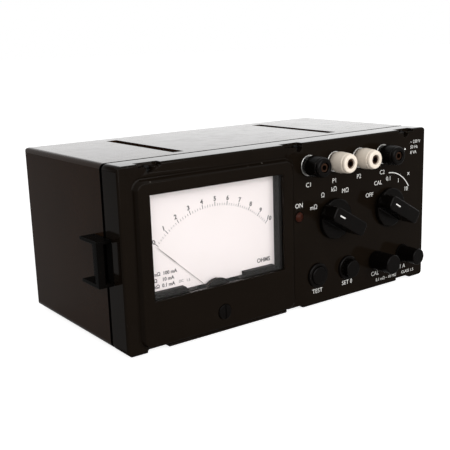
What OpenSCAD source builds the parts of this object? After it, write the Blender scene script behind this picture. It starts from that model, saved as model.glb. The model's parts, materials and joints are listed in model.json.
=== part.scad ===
// Bench microohmmeter with a moving-coil meter, four screw terminals and a row of controls.
// The instrument stands on the XY plane, +Z is up and its panel faces -Y.

/* [Case] */
// Width of the front frame
body_w = 286; // [280:1:320]
// Height of the front frame
body_h = 125; // [124:0.5:140]
// Depth from the panel face to the back of the case
body_d = 144; // [136:1:160]
// Depth of the front frame, from the panel face to the seam
frame_d = 20; // [18:0.5:26]
// Wall of the front frame
frame_wall = 2.6; // [2.2:0.1:3.2]
// Thickness of the front panel
panel_t = 3; // [2.6:0.1:3.4]
// Wall of the rear case
case_wall = 4; // [3.2:0.1:5]
// Step from the frame in to the case, all round
case_step = 0.1; // [0.1:0.05:0.4]
// Radius of the long upper edges of the frame and case
edge_r = 4; // [3:0.25:5]
// Radius of the long lower edges of the frame and case
under_r = 5; // [3.5:0.5:7]
// Radius of the edges round the panel face
face_r = 1.6; // [0.8:0.2:2.4]
// Radius of the edges round the back
back_r = 3; // [2:0.5:5]
// Width of the rebate that makes the seam line
seam_w = 3; // [1.6:0.1:3.4]
// Depth of the seam rebate
seam_depth = 2; // [1:0.1:2.4]
// Height of the feet under the case
foot_h = 2; // [1.5:0.25:2.2]
// Diameter of a foot
foot_dia = 14; // [10:1:20]
// Distance of the groove walls from the middle of the case
groove_x = 72.6; // [60:0.2:90]
// Depth of the grooves in the top
groove_d = 3.4; // [2:0.2:4]
// Width of a groove's sloping flank
groove_run = 9; // [6:0.5:11]
// Width of a groove's floor
groove_floor = 1.2; // [0.6:0.2:3]
// Plain length of the top behind the seam, before a groove begins
groove_front = 11.5; // [8:0.5:16]
// Plain length of the top behind a groove
groove_back = 16; // [10:0.5:22]

/* [Panel screws] */
// Distance of the outer notches and screws from the middle
screw_x = 119.5; // [112:0.5:124]
// Distance of the middle screw from the middle of its notch
screw_off = 5.6; // [4:0.2:6]
// Distance of the screw axes from the top edge
screw_inset = 3.8; // [3.7:0.1:4.6]
// Diameter of a screw shank
screw_dia = 2.5; // [2:0.1:2.7]
// Diameter of a screw head
head_dia = 4.5; // [4:0.1:5]
// Height of a screw head
head_h = 2; // [1.6:0.1:2.4]
// Length of thread in the case bosses
screw_bite = 14; // [8:1:22]
// Width of an edge notch
notch_w = 17; // [16.5:0.25:19]
// Height of an edge notch
notch_h = 2.4; // [1.6:0.1:2.8]
// Depth of an edge notch behind the panel face
notch_d = 6; // [5:0.25:8]

/* [Strap lugs] */
// Reach of a lug from the side of the frame
lug_reach = 11; // [10:0.25:13]
// Height of a lug
lug_h = 31; // [28:0.5:36]
// Distance of the lugs' middle below the middle of the frame
lug_drop = 0.5; // [-10:0.5:10]
// Distance of a lug's front from the panel face
lug_front = 12; // [10:0.5:14]
// Length of a lug from front to back
lug_len = 24; // [22:0.5:28]
// Width of the strap bar at the front of a lug
lug_bar_w = 5; // [4:0.5:8]
// Thickness of the strap bar
lug_bar_t = 5; // [4:0.25:5.5]
// Thickness of a lug's lips
lug_lip_t = 2.4; // [2:0.1:3]
// Thickness of a lug's base plate
lug_base_t = 2.4; // [2:0.1:3]
// Diameter of the lug screws
lug_screw_dia = 3; // [2.5:0.25:3.5]

/* [Meter] */
// Width of the bezel's border beside the window
border_side = 10.5; // [10:0.25:12]
// Distance of the window's top below the top of the frame
window_top = 20; // [19:0.25:22]
// Height of the window's lower edge above the base
window_bottom = 35; // [34:0.25:37]
// Rise of the bezel above the panel
bezel_rise = 3; // [2.6:0.1:3.6]
// Distance of the bezel from the left side of the frame
bezel_left = 10.5; // [9:0.5:12]
// Distance of the bezel from the middle of the frame
bezel_right = 1.5; // [1:0.25:3]
// Distance of the bezel below the top of the frame
bezel_top = 10; // [9:0.25:11]
// Height of the bezel's lower edge above the base
bezel_bottom = 4; // [3:0.25:6]
// Width of the bezel's sloping edge
bezel_slope = 2; // [1:0.5:5]
// Slope of the bezel's lower edge, nearly upright
bezel_foot = 0.4; // [0.2:0.1:1]
// Width of the groove round the bezel
bezel_gap = 1.6; // [1:0.2:2]
// Thickness of the glass
glass_t = 2; // [1.5:0.25:2.25]
// Overlap of the glass behind the window's edges
glass_lap = 3; // [2:0.25:3.25]
// Distance of the dial behind the panel face
dial_depth = 8.3; // [8.3:0.1:9]
// Thickness of the dial plate
dial_t = 1; // [0.6:0.1:1.2]
// Wall and back of the dial frame
tray_t = 2; // [1.6:0.1:2.4]
// Height of the black blocks at the foot of the dial
block_h = 2.8; // [2:0.2:5]
// Width of a block
block_w = 27.5; // [20:0.5:28]
// Distance of the blocks from the middle of the dial
block_x = 24; // [20:0.5:24.5]
// Distance of the needle's pivot below the window
pivot_below = 8.3; // [7.7:0.1:8.7]
// Length of the needle from its pivot
needle_len = 61; // [50:0.5:64]
// Angle from the middle of the scale to its ends
half_sweep = 48; // [40:1:50]
// Radius of the cover over the needle's pivot
hub_cover_r = 11.8; // [11:0.1:12.5]

/* [Movement] */
// Radius of the iron core
core_r = 8.5; // [7.5:0.25:8.5]
// Radius of the bore between the pole shoes
gap_r = 11.5; // [11.5:0.1:12]
// Width of the pair of pole shoes
shoe_w = 46; // [42:1:48]
// Height of the pole shoes
shoe_h = 34; // [32:0.5:35]
// Depth of the pole shoes
shoe_d = 20; // [16:0.5:24]
// Thickness of a magnet bar
magnet_t = 8; // [6:0.5:9]
// Wall of the movement's frame
movement_wall = 4; // [3.5:0.25:4]
// Diameter of the pivot staff
staff_dia = 1.5; // [1.2:0.1:2]
// Distance of the bridge posts from the pivot
bridge_post_x = 14; // [13.8:0.1:16]
// Width of the bridges
bridge_w = 7; // [6:0.5:8]
// Width of the keys that hold the core
key_w = 6; // [4:0.5:7]
// Distance of the zero-adjust screw below the pivot
zero_drop = 11.2; // [10.8:0.1:11.6]
// Diameter of the zero-adjust screw's head
zero_head_dia = 10.4; // [9:0.2:11]
// Throw of the zero-adjust screw's eccentric pin
zero_throw = 1.7; // [1.5:0.1:1.9]

/* [Terminals] */
// Place of the first terminal across the panel
terminal_x = 14.5; // [14:0.25:16]
// Distance between terminals
terminal_pitch = 26; // [24:0.5:28]
// Distance of the terminals below the top of the frame
terminal_drop = 17; // [16.5:0.25:19]
// Reach of a terminal cap from the panel face
terminal_reach = 17.5; // [16:0.25:19.5]
// Diameter of a cap's barrel at its widest
barrel_dia = 16; // [15:0.2:18]
// Diameter of a cap's front ring
ring_dia = 14.8; // [12:0.2:15]
// Diameter of a cap's back end
heel_dia = 14; // [12:0.2:15]
// Diameter of the mouth in a cap's front
mouth_dia = 6.8; // [6.6:0.2:9]
// Diameter of a terminal post
post_dia = 6; // [5.6:0.2:6.4]
// Diameter of the plug socket in a post
socket_dia = 4; // [3.9:0.1:4.2]
// Depth of the plug socket
socket_d = 12; // [8:0.5:13]
// Diameter of the washer under a cap
washer_dia = 15.5; // [14:0.5:18]
// Thickness of the washer
washer_t = 0.9; // [0.6:0.1:1.2]

/* [Rotary switches] */
// Place of the first switch across the panel
switch_x = 40; // [38:0.5:42]
// Distance between the two switches
switch_pitch = 60; // [56:0.5:62]
// Distance of the switches below the middle between the terminals and the lower row
switch_drop = 0.9; // [0:0.1:3]
// Diameter of a knob's skirt
skirt_dia = 31; // [28:0.5:34]
// Height of a knob's skirt
skirt_h = 3.4; // [3.2:0.1:4.4]
// Reach of a knob from the panel face
knob_reach = 18; // [16:0.25:19.5]
// Length of a knob's bar
bar_len = 36; // [30:0.5:38]
// Width of a knob's bar
bar_w = 11; // [9:0.5:13]
// Angle of the bars at rest, to the left of upright
rest_angle = 60; // [0:5:90]
// Diameter of the switch shafts
shaft_dia = 6; // [5:0.25:6.35]
// Width of a switch housing
housing_w = 30; // [26:0.5:32]
// Depth of a switch housing
housing_d = 8; // [6:0.5:10]
// Radius of a switch wafer
wafer_r = 18; // [16:0.5:19]
// Distance of the wafers behind the housings
wafer_gap = 15; // [10:0.5:18]

/* [Lower row] */
// Place of the test button across the panel
button_x = 22.5; // [21:0.25:24]
// Distance between the pieces of the lower row
row_pitch = 31.5; // [30:0.25:32.5]
// Height of the lower row above the base
row_z = 23.2; // [22.5:0.1:24]
// Outer diameter of the two collars
collar_dia = 19; // [17:0.25:20]
// Height of the collars
collar_h = 2; // [1.4:0.1:2.6]
// Diameter of the test button and the zero knob
button_dia = 13.6; // [12:0.2:14]
// Reach of the test button from the panel face
button_reach = 3; // [2.6:0.1:5]
// Travel of the test button
button_travel = 3; // [2:0.25:3.5]
// Reach of the zero knob from the panel face
zero_reach = 7.2; // [5:0.2:9]
// Diameter of the calibrating knob
cal_dia = 15.4; // [13:0.2:17]
// Reach of the calibrating knob from the panel face
cal_reach = 20; // [19.6:0.1:24]
// Diameter of the fuse cap
fuse_cap_dia = 13; // [12.4:0.2:15]
// Reach of the fuse cap from the panel face
fuse_reach = 18; // [14:0.5:19.5]
// Diameter of the fuse link
fuse_dia = 5; // [4.6:0.1:5.4]
// Length of the fuse link
fuse_len = 20; // [16:0.5:24]
// Place of the indicator lamp across the panel
lamp_x = 4.8; // [4.4:0.2:6]
// Height of the indicator lamp above the middle of the window
lamp_rise = 0.8; // [-4:0.2:4]
// Diameter of the lamp's lens
lens_dia = 7.2; // [6:0.2:7.4]

/* [Inside] */
// Distance of the circuit board from the left side of the frame
board_left = 41; // [38:1:50]
// Distance of the circuit board from the right side of the frame
board_right = 49; // [48:1:60]
// Distance of the circuit board from the top and bottom of the case
board_edge = 19.2; // [16:0.2:24]
// Thickness of the circuit board
board_t = 1.6; // [1:0.2:2]
// Height of the bosses behind the board
board_gap = 10; // [6:0.5:12]
// Width of the transformer core
core_w = 54; // [48:1:58]
// Height of the transformer core
core_h = 45; // [40:1:48]
// Depth of the transformer core
core_d = 22; // [18:1:26]
// Distance of the transformer's middle from the right side of the frame
transformer_side = 59; // [50:1:66]
// Width of the supply inlet's mouth
inlet_w = 26; // [24:0.5:28]
// Height of the supply inlet's mouth
inlet_h = 16; // [14:0.5:18]
// Depth of the supply inlet's mouth
inlet_d = 14; // [10:0.5:15]
// Distance of the supply inlet from the right side of the frame
inlet_side = 27; // [25:0.5:29]
// Height of the supply inlet above the base
inlet_z = 38; // [30:0.5:60]

/* [Fits] */
// Radial clearance of a turning or sliding fit
run_fit = 0.05; // [0.03:0.01:0.08]
// Radial clearance of bushes and screws in their through holes
hole_fit = 0.1; // [0.05:0.05:0.2]
// Clearance beside pieces that are laid in place
lay_fit = 0.15; // [0.1:0.05:0.25]
// Clearance between pieces that move past each other
move_gap = 0.3; // [0.2:0.05:0.4]

/* [Hidden] */
$fn = 64;
eps = 0.5;

// The panel face, placed so that the middle of the whole depth is at Y = 0
front_y = (cal_reach - body_d) / 2;

// Rear case
case_w = body_w - 2 * case_step;
case_top = body_h - case_step;
case_h = body_h - 2 * case_step;
case_mid = body_h / 2;
case_floor = case_step + case_wall;
inside_r = 0.8;
rib_side = 3;

// Panel screws
notch_xs = [-screw_x, 0, screw_x];
screw_xs = [-screw_x, screw_off, screw_x];
boss_wall = 1.4;
boss_r = screw_dia / 2 + boss_wall;
head_room = 0.4;
block_lap = 2;
pocket_r = head_dia / 2 + head_room;
block_side = notch_w / 2 + block_lap;
block_reach = screw_inset + pocket_r + block_lap;

// Strap lugs
lug_z = body_h / 2 - lug_drop;
lug_top = lug_z + lug_h / 2;
lug_base_gap = 2;
lug_base_front = frame_d + lug_base_gap;
lug_back = lug_front + lug_len;
lug_screw_z = (lug_base_front + lug_back) / 2;
lug_screw_dy = lug_h / 4;
lug_head_r = 0.9 * lug_screw_dia;
lug_head_h = 1.2;

// Meter, counted outwards from the panel face
bezel_w = body_w / 2 - bezel_left - bezel_right;
bezel_h = body_h - bezel_top - bezel_bottom;
window_w = bezel_w - 2 * border_side;
window_h = body_h - window_top - window_bottom;
window_x = -bezel_right - bezel_w / 2;
window_z = window_bottom + window_h / 2;
pivot_drop = window_h / 2 + pivot_below;
glass_w = window_w + 2 * glass_lap;
glass_h = window_h + 2 * glass_lap;
pocket_w = glass_w + 2 * lay_fit;
pocket_h = glass_h + 2 * lay_fit;
tray_inset = 0.7;
tray_w = window_w - 2 * tray_inset;
tray_h = window_h;
flange_lap = 2.5;
tray_back = dial_depth + dial_t + tray_t;
tray_cut_side = 4;
tray_cut = bridge_post_x + tray_cut_side;
bezel_mid = bezel_bottom + bezel_h / 2;
bezel_r = 5;
bezel_base_r = bezel_r + bezel_slope;
pivot_z = window_z - pivot_drop;
hub_front = panel_t + move_gap;
hub_t = 0.9;
lever_t = 0.5;
lever_front = hub_front + hub_t + move_gap;
bridge_front = lever_front + lever_t + move_gap;
bridge_t = 1;
needle_t = 0.5;
needle_front = bridge_front + bridge_t + needle_t;
needle_root = 0.9;
needle_tip = 0.45;
needle_hub_r = 2.6;
needle_tail = 8;
weight_r = 1.7;

// Movement
staff_r = staff_dia / 2;
shoe_gap = 3.7;
shoe_front = tray_back + shoe_gap;
shoe_back = shoe_front + shoe_d;
movement_w = shoe_w + 2 * magnet_t + 2 * movement_wall;
movement_h = shoe_h + 2 * movement_wall;
post_dx = movement_w / 2 - movement_wall / 2;
post_dy = movement_h / 2 - movement_wall / 2;
bridge_post_r = 1.8;
coil_gap = 0.6;
coil_in = core_r + coil_gap;
coil_out = gap_r - coil_gap;
coil_w = 3.2;
coil_bar = 1;
spring_room = 1.2;
coil_front = shoe_front - coil_gap - coil_bar;
coil_back = shoe_back + coil_gap + coil_bar;
rear_bridge_front = coil_back + spring_room;
rear_bridge_t = 1.5;
jewel_r = 1.5;
boss_ring_r = 2.6;
staff_front = lever_front + lever_t;
staff_end = 0.2;
staff_back = rear_bridge_front + rear_bridge_t - staff_end;
spring_turns = 3;
spring_in = 1.2;
spring_out = 6;
spring_t = 0.25;
spring_w = 0.4;
lever_w = 5;
pin_r = 0.8;
pin_gap = 0.2;
pin_slot = pin_r + pin_gap;
zero_shaft_r = 2.75;
hub_cut = zero_drop - zero_shaft_r - 2 * move_gap;
zero_seat_d = 1.6;
zero_seat = bezel_rise - zero_seat_d;
zero_slot = 1.6;

// Terminals
terminal_z = body_h - terminal_drop;
terminal_xs = [for (i = [0:3]) terminal_x + i * terminal_pitch];
bush_wall = 1.5;
bush_lap = 2;
bush_r = post_dia / 2 + bush_wall;
bush_flange_r = bush_r + bush_lap;
bush_flange_t = 1.4;
shoulder_lap = 2;
shoulder_r = post_dia / 2 + shoulder_lap;
shoulder_t = 1;
cap_back = washer_t + shoulder_t + move_gap;
mouth_d = 0.9;
post_front = terminal_reach - mouth_d;
post_back = 20;
nut_r = 0.95 * post_dia;
nut_h = 4;
ring_len = 2.8;
ring_step = 0.25;
ring_chamfer = 0.8;
mouth_lap = 1;

// Rotary switches
switch_xs = [switch_x, switch_x + switch_pitch];
switch_z = (terminal_z + row_z) / 2 - switch_drop;
shaft_r = shaft_dia / 2;
bush_switch_wall = 2;
switch_nut_wall = 3;
bush_switch_r = shaft_r + bush_switch_wall;
switch_nut_r = bush_switch_r + switch_nut_wall;
switch_nut_h = 2.2;
skirt_gap = 0.5;
recess_side = 4;
recess_over = 0.8;
knob_top = 3;
skirt_recess_r = switch_nut_r + recess_side;
skirt_recess_h = switch_nut_h + recess_over;
shaft_front = knob_reach - knob_top;
housing_back = panel_t + housing_d;
wafer_front = housing_back + wafer_gap;
wafer_t = 1.6;
rotor_r = 7;
spacer_r = 1.6;
spacer_inset = 2;
spacer_x = housing_w / 2 - spacer_inset;

// Lower row
row_xs = [for (i = [0:3]) button_x + i * row_pitch];
button_r = button_dia / 2;
hole_r = button_r + move_gap;
button_foot = 1.2;
stem_r = 2.5;
spring_shut = 5.8;
button_tail = 8;
button_pocket = button_foot + button_travel + spring_shut;
button_back = button_pocket + button_tail;
button_wall = 2;
button_body_r = hole_r + button_wall;
coil_spring_r = (button_r + stem_r) / 2;
coil_wire_r = 0.4;
coil_spring_turns = 5;
coil_sides = 6;
coil_steps = 8;
zero_stem_r = 2;
zero_bush_r = 3.5;
zero_pot_r = 10;
zero_pot_d = 10;
cal_shaft_r = 3;
cal_bush_r = 4.5;
cal_pot_r = 12;
cal_pot_d = 12;
fuse_tube_r = 6;
fuse_room = 1.7;
fuse_bore_r = fuse_dia / 2 + fuse_room;
fuse_flange_t = 1.4;
fuse_stem_d = 8;
fuse_grip = 5;
fuse_end_t = 2;
fuse_tube_d = fuse_stem_d - fuse_grip + fuse_len + move_gap + fuse_end_t;
lamp_z = window_z + lamp_rise;
lamp_wall = 0.6;
lamp_lap = 2;
lamp_hole_r = lens_dia / 2 + lamp_wall;
lamp_flange_r = lamp_hole_r + lamp_lap;
lamp_flange_t = 1.2;
lamp_rim = 0.4;
lens_dome = 1.4;
lamp_back = 10;

// Inside
board_z = body_d - case_wall - board_gap;
board_w = body_w - board_left - board_right;
board_h = case_h - 2 * board_edge;
board_x = (board_left - board_right) / 2;
board_mid = case_mid;
board_boss_r = 3.5;
board_boss_inset = 6;
board_boss_dx = board_w / 2 - board_boss_inset;
board_boss_dy = board_h / 2 - board_boss_inset;
chip = [20, 7, 4];
chip_gap = [8, 10];
chip_inset = 14;
capacitor_r = 8;
capacitor_h = 24;
capacitor_gap = 8;
leg_w = core_w / 3;
yoke_w = core_w / 6;
transformer_x = body_w / 2 - transformer_side;
transformer_gap = 4;
transformer_back = board_z - capacitor_h - transformer_gap;
winding_lap = 8;
inlet_x = body_w / 2 - inlet_side;
inlet_wall = 2;
inlet_pin_r = 2;
inlet_pin_dx = 7;

black = "#191613";
ivory = "#ece6d8";
brass = "#b8944c";
steel = "#9a9da0";

// Panel space: X to the right, Y up and Z out of the panel towards the user
module panel_space() {
    translate([0, front_y, foot_h]) rotate([90, 0, 0]) children();
}

// Round bar between two heights out of the panel
module bar(r, back, front) {
    translate([0, 0, back]) cylinder(r = r, h = front - back);
}

// Upright plate between two heights out of the panel
module slab(w, h, back, front) {
    translate([-w / 2, -h / 2, back]) cube([w, h, front - back]);
}

module rounded_square(w, h, r) {
    square([w - 2 * r, h], center = true);
    square([w, h - 2 * r], center = true);
    for (sx = [-1, 1], sy = [-1, 1])
        translate([sx * (w / 2 - r), sy * (h / 2 - r)]) circle(r);
}

module rounded_slab(w, h, r, back, front) {
    translate([0, 0, back]) linear_extrude(front - back) rounded_square(w, h, r);
}

// Outline of the frame, set in all round by inset, with tight upper and round lower corners
module body_outline(inset) {
    w = body_w - 2 * inset;
    h = body_h - 2 * inset;
    top_r = max(edge_r - inset, inside_r);
    low_r = max(under_r - inset, inside_r);
    translate([0, inset]) {
        translate([low_r - w / 2, 0]) square([w - 2 * low_r, h]);
        translate([-w / 2, low_r]) square([w, h - low_r - top_r]);
        translate([top_r - w / 2, low_r]) square([w - 2 * top_r, h - low_r]);
        for (sx = [-1, 1]) {
            translate([sx * (w / 2 - top_r), h - top_r]) circle(top_r);
            translate([sx * (w / 2 - low_r), low_r]) circle(low_r);
        }
    }
}

module body_slab(inset, back, front) {
    translate([0, 0, back]) linear_extrude(front - back) body_outline(inset);
}

// Block with that outline from Z = 0 to depth, its far edges rounded by end_r
module soft_block(inset, depth, end_r) {
    w = body_w - 2 * inset;
    h = body_h - 2 * inset;
    intersection() {
        body_slab(inset, 0, depth);
        translate([0, body_h, 0]) rotate([90, 0, 0]) linear_extrude(body_h)
            rounded_square(w, 2 * depth, end_r);
        translate([-w / 2, body_h / 2, 0]) rotate([90, 0, 90]) linear_extrude(w)
            rounded_square(h, 2 * depth, end_r);
    }
}

module at_pivot() {
    translate([window_x, pivot_z, 0]) children();
}

module at_window() {
    translate([window_x, window_z, 0]) children();
}

module at_row(i) {
    translate([row_xs[i], row_z, 0]) children();
}

module at_switch(i) {
    translate([switch_xs[i], switch_z, 0]) children();
}

module at_terminals() {
    for (x = terminal_xs) translate([x, terminal_z, 0]) children();
}

module at_screws() {
    for (x = screw_xs) translate([x, body_h - screw_inset, 0]) children();
}

module at_board_bosses() {
    for (sx = [-1, 1], sy = [-1, 1])
        translate([board_x + sx * board_boss_dx, board_mid + sy * board_boss_dy, 0]) children();
}

module at_feet() {
    foot_x = case_w / 2 - under_r - foot_dia;
    foot_back = body_d - back_r - foot_dia;
    foot_front = frame_d + foot_dia;
    for (sx = [-1, 1], depth = [foot_front, foot_back]) translate([sx * foot_x, 0, -depth]) children();
}

// Case and panel

module case_cavity() {
    difference() {
        body_slab(case_step + case_wall, -body_d + case_wall, -frame_d + eps);
        for (sx = [-1, 1])
            translate([sx * groove_x - groove_run - rib_side, case_top - case_wall - groove_d, -body_d])
                cube([groove_run + 2 * rib_side, case_wall + groove_d, body_d]);
    }
}

module case_groove() {
    translate([0, 0, -body_d + groove_back]) linear_extrude(body_d - frame_d - groove_front - groove_back)
        polygon([[-groove_run, 0], [-groove_floor, -groove_d], [0, -groove_d],
                 [0, eps], [-groove_run, eps]]);
}

module rear_case() {
    color(black) panel_space() difference() {
        union() {
            difference() {
                intersection() {
                    mirror([0, 0, 1]) soft_block(case_step, body_d, back_r);
                    slab(2 * body_w, 4 * body_h, -body_d, -frame_d);
                }
                case_cavity();
                for (sx = [-1, 1]) translate([sx * groove_x, case_top, 0]) case_groove();
            }
            at_screws() bar(boss_r, -frame_d - screw_bite - 2, -frame_d);
            at_board_bosses() bar(board_boss_r, -body_d + case_wall - eps, -board_z);
        }
        difference() {
            slab(2 * body_w, 4 * body_h, -frame_d - seam_w, -frame_d + eps);
            body_slab(case_step + seam_depth, -frame_d - 2 * seam_w, -frame_d + 1);
        }
        at_screws() bar(screw_dia / 2, -frame_d - screw_bite, -frame_d + eps);
        for (side = [-1, 1]) at_lug_screws(side) bar(lug_screw_dia / 2, -case_wall + 1, eps);
        translate([inlet_x, inlet_z, 0])
            slab(inlet_w + 2 * inlet_wall, inlet_h + 2 * inlet_wall,
                 -body_d - eps, -body_d + case_wall + eps);
    }
}

// Places on the upper and lower edges, with Y pointing outwards
module at_notches() {
    for (x = notch_xs, top = [0, 1])
        translate([x, top * body_h, 0]) mirror([0, 1 - top, 0]) children();
}

module edge_notch() {
    translate([0, (eps - notch_h) / 2, 0]) slab(notch_w, notch_h + eps, -notch_d, eps);
}

module screw_pocket() {
    bar(pocket_r, -notch_d, eps);
    bar(screw_dia / 2 + hole_fit, -frame_d - eps, 0);
}

module bezel() {
    high = bezel_bottom + bezel_h - bezel_base_r;
    hull() for (sx = [-1, 1]) translate([window_x + sx * (bezel_w / 2 - bezel_base_r), 0, 0]) {
        for (y = [bezel_bottom + bezel_base_r, high])
            translate([0, y, -eps]) cylinder(r = bezel_base_r, h = eps, $fn = 32);
        for (y = [bezel_bottom + bezel_foot + bezel_r, high])
            translate([0, y, 0]) cylinder(r = bezel_r, h = bezel_rise, $fn = 32);
    }
}

module bezel_groove() {
    groove_depth = 0.8;
    difference() {
        translate([window_x, bezel_mid, 0])
            rounded_slab(bezel_w + 2 * bezel_gap, bezel_h + 2 * bezel_gap, bezel_base_r,
                         -groove_depth, eps);
        translate([window_x, bezel_mid, 0])
            rounded_slab(bezel_w, bezel_h, bezel_base_r, -2 * groove_depth, 2 * eps);
    }
}

module front_panel() {
    color(black) panel_space() difference() {
        union() {
            difference() {
                intersection() {
                    translate([0, 0, -2 * frame_d]) soft_block(0, 2 * frame_d, face_r);
                    slab(2 * body_w, 4 * body_h, -frame_d, 0);
                }
                body_slab(frame_wall, -frame_d - eps, -panel_t);
                bezel_groove();
            }
            at_notches() translate([0, -(block_reach + frame_wall / 2) / 2, 0])
                slab(2 * block_side, block_reach - frame_wall / 2, -frame_d, -panel_t + eps);
            bezel();
        }
        at_notches() edge_notch();
        at_screws() screw_pocket();
        at_window() slab(window_w, window_h, -panel_t, bezel_rise + eps);
        at_window() slab(pocket_w, pocket_h, -panel_t - eps, 0);
        at_terminals() bar(bush_r + hole_fit, -panel_t - eps, eps);
        for (i = [0, 1]) at_switch(i) bar(bush_switch_r + hole_fit, -panel_t - eps, eps);
        at_row(0) bar(hole_r, -panel_t - eps, eps);
        at_row(1) bar(zero_bush_r + hole_fit, -panel_t - eps, eps);
        at_row(2) bar(cal_bush_r + hole_fit, -panel_t - eps, eps);
        at_row(3) bar(fuse_tube_r + hole_fit, -panel_t - eps, eps);
        translate([lamp_x, lamp_z, 0]) bar(lamp_hole_r, -panel_t - eps, eps);
        at_zero_screw() bar(zero_shaft_r + run_fit, -panel_t - eps, bezel_rise);
        at_zero_screw() bar(zero_head_dia / 2 + move_gap, zero_seat, bezel_rise + eps);
    }
}

module case_feet() {
    color("#26241f") panel_space() at_feet() translate([0, -foot_h, 0]) rotate([-90, 0, 0])
        cylinder(d = foot_dia, h = foot_h + case_step);
}

module at_lug_screws(side) {
    for (dy = [-lug_screw_dy, lug_screw_dy])
        translate([side * case_w / 2, lug_z + dy, -lug_screw_z]) rotate([0, side * 90, 0]) children();
}

module case_screws() {
    color(steel) panel_space() {
        at_screws() {
            bar(screw_dia / 2, -frame_d - screw_bite, -notch_d);
            difference() {
                bar(head_dia / 2, -notch_d, -notch_d + head_h);
                slab(head_dia, head_dia / 6, -notch_d + head_h / 2, 0);
            }
        }
        for (side = [-1, 1]) at_lug_screws(side) {
            bar(lug_screw_dia / 2, -case_wall + 1, lug_base_t - lug_head_h);
            bar(lug_head_r, lug_base_t - lug_head_h, lug_base_t);
        }
    }
}

// Strap lug on the right side, with its bar in front and its base plate on the case
module strap_lug(side) {
    wall_x = body_w / 2;
    outer_x = wall_x + lug_reach;
    case_x = case_w / 2;
    color(black) panel_space() mirror([side < 0 ? 1 : 0, 0, 0]) difference() {
        union() {
            translate([outer_x - lug_bar_t, lug_z - lug_h / 2, -lug_front - lug_bar_w])
                cube([lug_bar_t, lug_h, lug_bar_w]);
            for (y = [lug_z - lug_h / 2, lug_top - lug_lip_t]) {
                translate([wall_x + move_gap, y, -lug_back])
                    cube([lug_reach - move_gap, lug_lip_t, lug_len]);
                translate([case_x, y, -lug_back])
                    cube([lug_reach, lug_lip_t, lug_back - lug_base_front]);
            }
            translate([case_x, lug_z - lug_h / 2, -lug_back])
                cube([lug_base_t, lug_h, lug_back - lug_base_front]);
        }
        at_lug_screws(1) bar(lug_screw_dia / 2 + hole_fit, -eps, lug_base_t);
        at_lug_screws(1) bar(lug_head_r, lug_base_t - lug_head_h, lug_base_t + eps);
    }
}

// Meter

module meter_glass() {
    color("#dfe8ea", 0.3) panel_space() at_window() slab(glass_w, glass_h, -glass_t, 0);
}

module dial_frame() {
    bottom = -window_h / 2;
    cut_top = hub_cover_r + move_gap - pivot_drop;
    color(black) panel_space() at_window() difference() {
        union() {
            slab(glass_w, glass_h, -panel_t, -glass_t);
            slab(pocket_w + 2 * flange_lap, pocket_h + 2 * flange_lap, -panel_t - tray_t, -panel_t);
            slab(tray_w + 2 * tray_t, tray_h + 2 * tray_t, -tray_back, -panel_t);
        }
        difference() {
            slab(tray_w, tray_h, -dial_depth - dial_t, eps);
            translate([block_x + block_w / 2, bottom + block_h / 2, 0])
                slab(block_w, block_h, -dial_depth, -dial_depth / 2);
            translate([-block_x, bottom, -dial_depth]) linear_extrude(dial_depth / 2)
                polygon([[-block_w, 0], [0, 0], [-block_h, block_h], [-block_w, block_h]]);
        }
        translate([0, cut_top - pivot_drop / 2, 0]) slab(2 * tray_cut, pivot_drop, -tray_back - eps, eps);
        translate([0, -pivot_drop, 0]) bar(gap_r + 1, -tray_back - eps, -dial_depth - dial_t + eps);
    }
}

module dial_plate() {
    color("#f4f1e6") panel_space() difference() {
        at_window() slab(tray_w, tray_h, -dial_depth - dial_t, -dial_depth);
        at_pivot() bar(hub_cover_r - 1, -dial_depth - dial_t - eps, -dial_depth + eps);
    }
}

module hub_cover() {
    peg_x = hub_cover_r - 3;
    color(black) panel_space() at_pivot() {
        difference() {
            bar(hub_cover_r, -hub_front - hub_t, -hub_front);
            translate([0, -hub_cut - hub_cover_r, 0])
                slab(2 * hub_cover_r, 2 * hub_cover_r, -hub_front - hub_t - eps, -hub_front + eps);
        }
        for (sx = [-1, 1]) translate([sx * peg_x, 0, 0]) bar(1, -bridge_front, -hub_front - hub_t);
    }
}

module pole_shoes() {
    color(steel) panel_space() at_pivot() difference() {
        slab(shoe_w, shoe_h, -shoe_back, -shoe_front);
        bar(gap_r, -shoe_back - eps, -shoe_front + eps);
        slab(key_w, shoe_h + eps, -shoe_back - eps, -shoe_front + eps);
    }
}

module magnet_bars() {
    color("#4a4c50") panel_space() at_pivot() for (sx = [-1, 1])
        translate([sx * (shoe_w + magnet_t) / 2, 0, 0]) slab(magnet_t, shoe_h, -shoe_back, -shoe_front);
}

module movement_frame() {
    post_r = movement_wall / 2;
    color("#7d8084") panel_space() at_pivot() {
        difference() {
            slab(movement_w, movement_h, -shoe_back, -shoe_front);
            slab(shoe_w + 2 * magnet_t, shoe_h, -shoe_back - eps, -shoe_front + eps);
        }
        for (sx = [-1, 1]) {
            translate([sx * post_dx, post_dy, 0]) bar(post_r, -shoe_front - eps, -tray_back);
            translate([sx * post_dx, -post_dy, 0]) bar(post_r, -shoe_front - eps, -panel_t);
        }
    }
}

module iron_core() {
    color("#6d7074") panel_space() at_pivot() difference() {
        bar(core_r, -shoe_back + eps, -shoe_front - eps);
        bar(2 * staff_r, -shoe_back, -shoe_front);
    }
}

module core_keys() {
    color(brass) panel_space() at_pivot() difference() {
        slab(key_w, shoe_h, -shoe_back + 1, -shoe_front - 1);
        bar(core_r, -shoe_back, -shoe_front);
    }
}

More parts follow.
